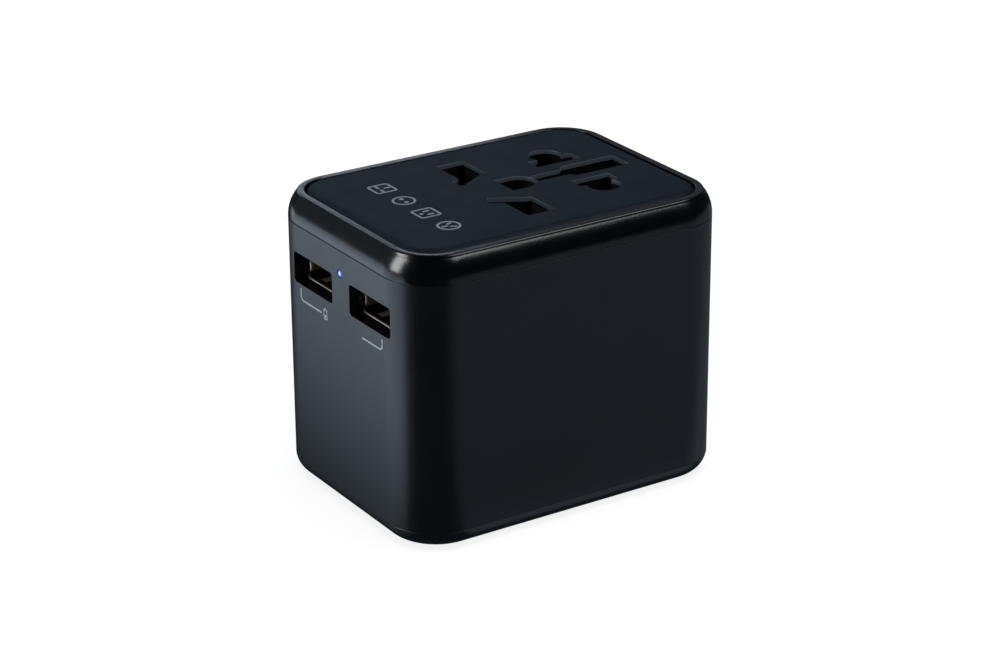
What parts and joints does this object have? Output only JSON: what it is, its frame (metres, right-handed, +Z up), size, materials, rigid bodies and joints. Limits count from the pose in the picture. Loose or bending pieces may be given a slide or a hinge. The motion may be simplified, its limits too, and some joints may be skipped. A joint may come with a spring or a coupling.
{
  "type": "universal travel adapter",
  "caption": "Cuboid travel adapter: world mains socket on top, USB-A charging ports on one short side, mains plugs that slide out of the bottom.",
  "frame": {"origin": "middle of the flat bottom", "axes": "+X along the long side away from the USB face, +Y towards the side with the plug sliders, +Z up out of the socket panel"},
  "size_m": [0.0666, 0.05, 0.0545],
  "materials": {
    "satin_shell": "satin moulded, near-black with a blue tint",
    "gloss_cap": "semi-gloss moulded, near-black",
    "matte_panel": "fine matte moulded, near-black with a blue tint",
    "inner_plastic": "black moulded",
    "carrier_plastic": "dark grey moulded",
    "knob_plastic": "satin black moulded",
    "button_plastic": "mid grey moulded",
    "brass": "stamped brass",
    "nickel_plate": "nickel-plated brass",
    "steel": "plain steel",
    "circuit_board": "green solder resist",
    "ferrite": "sintered ferrite",
    "winding_tape": "yellow insulating tape over wire",
    "capacitor_can": "sleeved can",
    "fuse_ceramic": "white glazed tube",
    "light_pipe_plastic": "clear with a blue glow"
  },
  "bodies": {
    "shell": {"main_housing": "satin_shell", "bottom_cover": "satin_shell", "top_cap": "gloss_cap", "socket_panel": "matte_panel", "housing_screw_1": "steel", "housing_screw_2": "steel", "housing_screw_3": "steel", "housing_screw_4": "steel", "socket_guide": "inner_plastic", "contact_tray": "inner_plastic", "live_contact": "brass", "neutral_contact": "brass", "live_busbar": "brass", "neutral_busbar": "brass", "fuse": "fuse_ceramic", "fuse_clip_1": "nickel_plate", "fuse_clip_2": "nickel_plate", "usb_shell_1": "steel", "usb_shell_2": "steel", "usb_tongue_1": "inner_plastic", "usb_tongue_2": "inner_plastic", "usb_board": "circuit_board", "power_board": "circuit_board", "transformer_core": "ferrite", "transformer_winding": "winding_tape", "input_capacitor": "capacitor_can", "output_capacitor": "capacitor_can", "status_led": "fuse_ceramic", "light_pipe": "light_pipe_plastic"},
    "eu_slider": {"eu_carrier": "carrier_plastic", "eu_pin_live": "nickel_plate", "eu_pin_neutral": "nickel_plate", "eu_knob": "knob_plastic", "eu_button_spring": "steel"},
    "eu_button": {"eu_lock_button": "button_plastic"},
    "uk_slider": {"uk_carrier": "carrier_plastic", "uk_pin_live": "brass", "uk_pin_neutral": "brass", "uk_earth_pin": "inner_plastic", "uk_knob": "knob_plastic", "uk_button_spring": "steel"},
    "uk_button": {"uk_lock_button": "button_plastic"},
    "us_slider": {"us_carrier": "carrier_plastic", "us_wiper_live": "brass", "us_wiper_neutral": "brass", "us_knob": "knob_plastic", "us_button_spring": "steel"},
    "us_button": {"us_lock_button": "button_plastic"},
    "us_live_blade": {"us_blade_live": "brass"},
    "us_neutral_blade": {"us_blade_neutral": "brass"}
  },
  "joints": [
    {"name": "eu_plug_slide", "type": "slide", "parent": "shell", "child": "eu_slider", "axis": [0, 0, -1], "range_m": [0, 0.019]},
    {"name": "eu_button_press", "type": "slide", "parent": "eu_slider", "child": "eu_button", "axis": [0, -1, 0], "range_m": [0, 0.001], "stiffness_N_per_m": 400, "springref_m": -0.0005, "deforming": ["eu_button_spring"]},
    {"name": "uk_plug_slide", "type": "slide", "parent": "shell", "child": "uk_slider", "axis": [0, 0, -1], "range_m": [0, 0.0225]},
    {"name": "uk_button_press", "type": "slide", "parent": "uk_slider", "child": "uk_button", "axis": [0, -1, 0], "range_m": [0, 0.001], "stiffness_N_per_m": 400, "springref_m": -0.0005, "deforming": ["uk_button_spring"]},
    {"name": "us_plug_slide", "type": "slide", "parent": "shell", "child": "us_slider", "axis": [0, 0, -1], "range_m": [0, 0.017]},
    {"name": "us_button_press", "type": "slide", "parent": "us_slider", "child": "us_button", "axis": [0, -1, 0], "range_m": [0, 0.001], "stiffness_N_per_m": 400, "springref_m": -0.0005, "deforming": ["us_button_spring"]},
    {"name": "live_blade_twist", "type": "hinge", "parent": "us_slider", "child": "us_live_blade", "pos_m": [-0.013, 0.00635, 0], "axis": [0, 0, 1], "range_deg": [0, 30]},
    {"name": "neutral_blade_twist", "type": "hinge", "parent": "us_slider", "child": "us_neutral_blade", "pos_m": [-0.013, -0.00635, 0], "axis": [0, 0, -1], "range_deg": [0, 30]}
  ]
}
